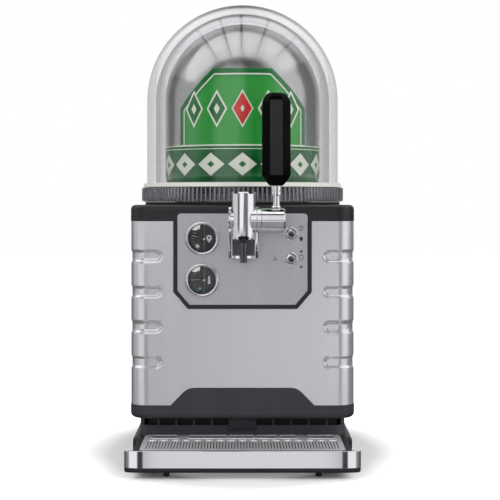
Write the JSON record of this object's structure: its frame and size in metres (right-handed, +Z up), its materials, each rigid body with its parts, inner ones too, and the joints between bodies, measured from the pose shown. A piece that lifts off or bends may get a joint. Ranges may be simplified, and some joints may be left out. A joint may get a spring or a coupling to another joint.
{
  "type": "mini keg beer dispenser",
  "caption": "Counter-top cooler with a mini keg under a clear double dome, a lever tap and control panel on its front, and a slide-out drip tray.",
  "frame": {"origin": "centre of the overall box's underside, on the surface that the object stands on", "axes": "+Z up, the tap and the control panel face -Y, +X to the right seen from the front"},
  "size_m": [0.314, 0.484, 0.66],
  "materials": {
    "shell_steel": "vertically brushed",
    "panel_steel": "fine brushed",
    "tap_chrome": "polished",
    "black_moulding": "fine grained",
    "gloss_black": "gloss",
    "rubber": "matt",
    "rear_sheet": "powder coated",
    "enamel_black": "enamelled",
    "fin_aluminium": "rolled",
    "board_green": "lacquered board",
    "white_plastic": "moulded",
    "line_plastic": "clear hose",
    "dome_clear": "clear moulded",
    "ring_clear": "smoked clear",
    "gauge_glass": "clear",
    "keg_film": "printed film over silver",
    "needle_white": "painted",
    "lens_grey": "gloss"
  },
  "bodies": {
    "cabinet": {"foot_front_left": "rubber", "foot_front_right": "rubber", "foot_rear_left": "rubber", "foot_rear_right": "rubber", "base_plinth": "black_moulding", "vent_neck": "black_moulding", "base_skirt": "black_moulding", "outer_shell": "shell_steel", "rear_panel": "rear_sheet", "power_inlet": "gloss_black", "top_cover": "black_moulding", "seat_ring": "rubber", "chamber_liner": "white_plastic", "panel_bezel": "black_moulding", "control_panel": "panel_steel", "pressure_gauge_case": "gloss_black", "pressure_gauge_bezel": "tap_chrome", "pressure_gauge_glass": "gauge_glass", "temperature_gauge_case": "gloss_black", "temperature_gauge_bezel": "tap_chrome", "temperature_gauge_glass": "gauge_glass", "light_switch_body": "tap_chrome", "cooling_switch_body": "tap_chrome", "indicator_lens": "lens_grey", "tap_bracket": "tap_chrome", "tap_barrel": "tap_chrome", "nozzle_collar": "tap_chrome", "spout_tube": "gloss_black", "keg_cradle": "white_plastic", "keg_coupler": "white_plastic", "beer_line": "line_plastic", "air_line": "line_plastic", "evaporator": "fin_aluminium", "circulation_fan_frame": "gloss_black", "compressor": "enamel_black", "condenser": "fin_aluminium", "condenser_fan_frame": "gloss_black", "air_pump": "gloss_black", "control_board": "board_green"},
    "keg": {"keg_shell": "keg_film", "keg_cap": "gloss_black"},
    "dome": {"dome_outer": "dome_clear", "dome_inner": "dome_clear", "dome_ring": "ring_clear"},
    "lever": {"lever_sleeve": "tap_chrome", "valve_spindle": "tap_chrome", "lever_stem": "tap_chrome", "lever_grip": "gloss_black"},
    "light_toggle": {"light_switch_bat": "tap_chrome"},
    "cooling_toggle": {"cooling_switch_bat": "tap_chrome"},
    "pressure_pointer": {"pressure_needle": "needle_white"},
    "temperature_pointer": {"temperature_needle": "needle_white"},
    "tray": {"tray_tub": "black_moulding", "tray_fascia": "shell_steel"},
    "grille": {"drip_grille": "shell_steel"},
    "chamber_fan": {"circulation_fan": "gloss_black"},
    "cooling_fan": {"condenser_fan": "gloss_black"}
  },
  "joints": [
    {"name": "keg_lift", "type": "slide", "parent": "cabinet", "child": "keg", "axis": [0, 0, 1], "range_m": [0, 0.3]},
    {"name": "dome_lift", "type": "slide", "parent": "keg", "child": "dome", "axis": [0, 0, 1], "range_m": [0, 0.32]},
    {"name": "lever_pull", "type": "hinge", "parent": "cabinet", "child": "lever", "pos_m": [0.042, -0.176, 0.342], "axis": [1, 0, 0], "range_deg": [0, 50]},
    {"name": "light_flip", "type": "hinge", "parent": "cabinet", "child": "light_toggle", "pos_m": [0.0676, -0.1403, 0.3225], "axis": [1, 0, 0], "range_deg": [-12, 12]},
    {"name": "cooling_flip", "type": "hinge", "parent": "cabinet", "child": "cooling_toggle", "pos_m": [0.0676, -0.1403, 0.2878], "axis": [1, 0, 0], "range_deg": [-12, 12]},
    {"name": "pressure_swing", "type": "hinge", "parent": "cabinet", "child": "pressure_pointer", "pos_m": [-0.0563, -0.134, 0.3164], "axis": [0, 1, 0], "range_deg": [-75, 45]},
    {"name": "temperature_swing", "type": "hinge", "parent": "cabinet", "child": "temperature_pointer", "pos_m": [-0.0563, -0.134, 0.2583], "axis": [0, 1, 0], "range_deg": [-60, 60]},
    {"name": "tray_slide", "type": "slide", "parent": "cabinet", "child": "tray", "axis": [0, -1, 0], "range_m": [0, 0.12]},
    {"name": "grille_lift", "type": "slide", "parent": "tray", "child": "grille", "axis": [0, 0, 1], "range_m": [0, 0.024]},
    {"name": "chamber_fan_spin", "type": "hinge", "parent": "cabinet", "child": "chamber_fan", "pos_m": [0, 0.098, 0.283], "axis": [0, 0, 1], "continuous": true},
    {"name": "cooling_fan_spin", "type": "hinge", "parent": "cabinet", "child": "cooling_fan", "pos_m": [-0.065, 0.188, 0.15], "axis": [0, 1, 0], "continuous": true}
  ]
}
